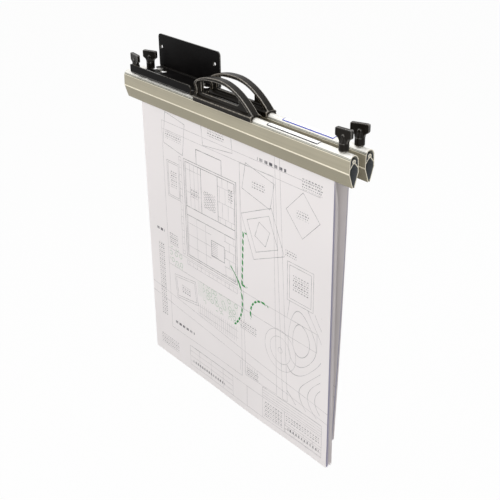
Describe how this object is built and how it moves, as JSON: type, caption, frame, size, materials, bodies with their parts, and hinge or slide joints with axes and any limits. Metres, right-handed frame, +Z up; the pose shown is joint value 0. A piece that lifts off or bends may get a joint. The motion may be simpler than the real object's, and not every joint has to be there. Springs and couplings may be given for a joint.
{
  "type": "plan hanging rack",
  "caption": "Wall bracket with keyholes that holds long plan clamps by their rails; wing knobs work hinged jaws that grip large drawing sheets, and each clamp has a carrying handle.",
  "frame": {"origin": "middle of the two wall screw holes, on the bracket's back face", "axes": "+X along the clamps, from the bracket's side to the handles' side; +Y into the wall; +Z up"},
  "size_m": [0.69, 0.0763, 0.74],
  "materials": {
    "bracket_black": "satin black powder coat",
    "rail_cream": "satin silver-white anodised",
    "jaw_beige": "satin warm silver anodised",
    "steel": "plain zinc-plated steel",
    "knob_black": "fine satin black moulding",
    "handle_black": "fine satin black moulding",
    "label_white": "matt white strip with a thin dark border",
    "paper": null
  },
  "bodies": {
    "bracket": {"wall_bracket": "bracket_black"},
    "front_clamp": {"front_top_rail": "rail_cream", "front_handle": "handle_black", "front_handle_screws": "steel", "front_index_label": "label_white", "front_hanger_studs": "steel", "front_hanger_nuts": "steel", "front_knob_washers": "steel", "front_sheets": "paper"},
    "front_knob_left": {"front_left_knob": "knob_black", "front_left_stud": "steel"},
    "front_knob_right": {"front_right_knob": "knob_black", "front_right_stud": "steel"},
    "front_core": {"front_hinge_rod": "steel", "front_anchor_blocks": "steel"},
    "front_jaw_near": {"front_near_jaw": "jaw_beige"},
    "front_jaw_far": {"front_far_jaw": "jaw_beige"},
    "rear_clamp": {"rear_top_rail": "rail_cream", "rear_handle": "handle_black", "rear_handle_screws": "steel", "rear_index_label": "label_white", "rear_hanger_studs": "steel", "rear_hanger_nuts": "steel", "rear_knob_washers": "steel", "rear_sheets": "paper"},
    "rear_knob_left": {"rear_left_knob": "knob_black", "rear_left_stud": "steel"},
    "rear_knob_right": {"rear_right_knob": "knob_black", "rear_right_stud": "steel"},
    "rear_core": {"rear_hinge_rod": "steel", "rear_anchor_blocks": "steel"},
    "rear_jaw_near": {"rear_near_jaw": "jaw_beige"},
    "rear_jaw_far": {"rear_far_jaw": "jaw_beige"}
  },
  "joints": [
    {"name": "front_unhook", "type": "slide", "parent": "bracket", "child": "front_clamp", "axis": [1, 0, 0], "range_m": [0, 0.014]},
    {"name": "front_left_knob_turn", "type": "hinge", "parent": "front_clamp", "child": "front_knob_left", "pos_m": [-0.106, -0.061, -0.045], "axis": [0, 0, 1], "range_deg": [0, 540]},
    {"name": "front_right_knob_turn", "type": "hinge", "parent": "front_clamp", "child": "front_knob_right", "pos_m": [0.523, -0.061, -0.045], "axis": [0, 0, 1], "range_deg": [0, 540]},
    {"name": "front_core_drop", "type": "slide", "parent": "front_clamp", "child": "front_core", "axis": [0, 0, -1], "range_m": [0, 0.0015]},
    {"name": "front_near_jaw_swing", "type": "hinge", "parent": "front_core", "child": "front_jaw_near", "pos_m": [-0.139, -0.061, -0.059], "axis": [-1, 0, 0], "range_deg": [0, 7]},
    {"name": "front_far_jaw_swing", "type": "hinge", "parent": "front_core", "child": "front_jaw_far", "pos_m": [-0.139, -0.061, -0.059], "axis": [1, 0, 0], "range_deg": [0, 7]},
    {"name": "rear_unhook", "type": "slide", "parent": "bracket", "child": "rear_clamp", "axis": [1, 0, 0], "range_m": [0, 0.014]},
    {"name": "rear_left_knob_turn", "type": "hinge", "parent": "rear_clamp", "child": "rear_knob_left", "pos_m": [-0.109, -0.022, -0.045], "axis": [0, 0, 1], "range_deg": [0, 540]},
    {"name": "rear_right_knob_turn", "type": "hinge", "parent": "rear_clamp", "child": "rear_knob_right", "pos_m": [0.52, -0.022, -0.045], "axis": [0, 0, 1], "range_deg": [0, 540]},
    {"name": "rear_core_drop", "type": "slide", "parent": "rear_clamp", "child": "rear_core", "axis": [0, 0, -1], "range_m": [0, 0.0015]},
    {"name": "rear_near_jaw_swing", "type": "hinge", "parent": "rear_core", "child": "rear_jaw_near", "pos_m": [-0.142, -0.022, -0.059], "axis": [-1, 0, 0], "range_deg": [0, 7]},
    {"name": "rear_far_jaw_swing", "type": "hinge", "parent": "rear_core", "child": "rear_jaw_far", "pos_m": [-0.142, -0.022, -0.059], "axis": [1, 0, 0], "range_deg": [0, 7]}
  ],
  "couplings": [
    {"joint": "front_left_knob_turn", "follows": "front_core_drop", "rad_per_m": 6283},
    {"joint": "front_right_knob_turn", "follows": "front_core_drop", "rad_per_m": 6283},
    {"joint": "front_near_jaw_swing", "follows": "front_core_drop", "rad_per_m": 81.4},
    {"joint": "front_far_jaw_swing", "follows": "front_core_drop", "rad_per_m": 81.4},
    {"joint": "rear_left_knob_turn", "follows": "rear_core_drop", "rad_per_m": 6283},
    {"joint": "rear_right_knob_turn", "follows": "rear_core_drop", "rad_per_m": 6283},
    {"joint": "rear_near_jaw_swing", "follows": "rear_core_drop", "rad_per_m": 81.4},
    {"joint": "rear_far_jaw_swing", "follows": "rear_core_drop", "rad_per_m": 81.4}
  ]
}
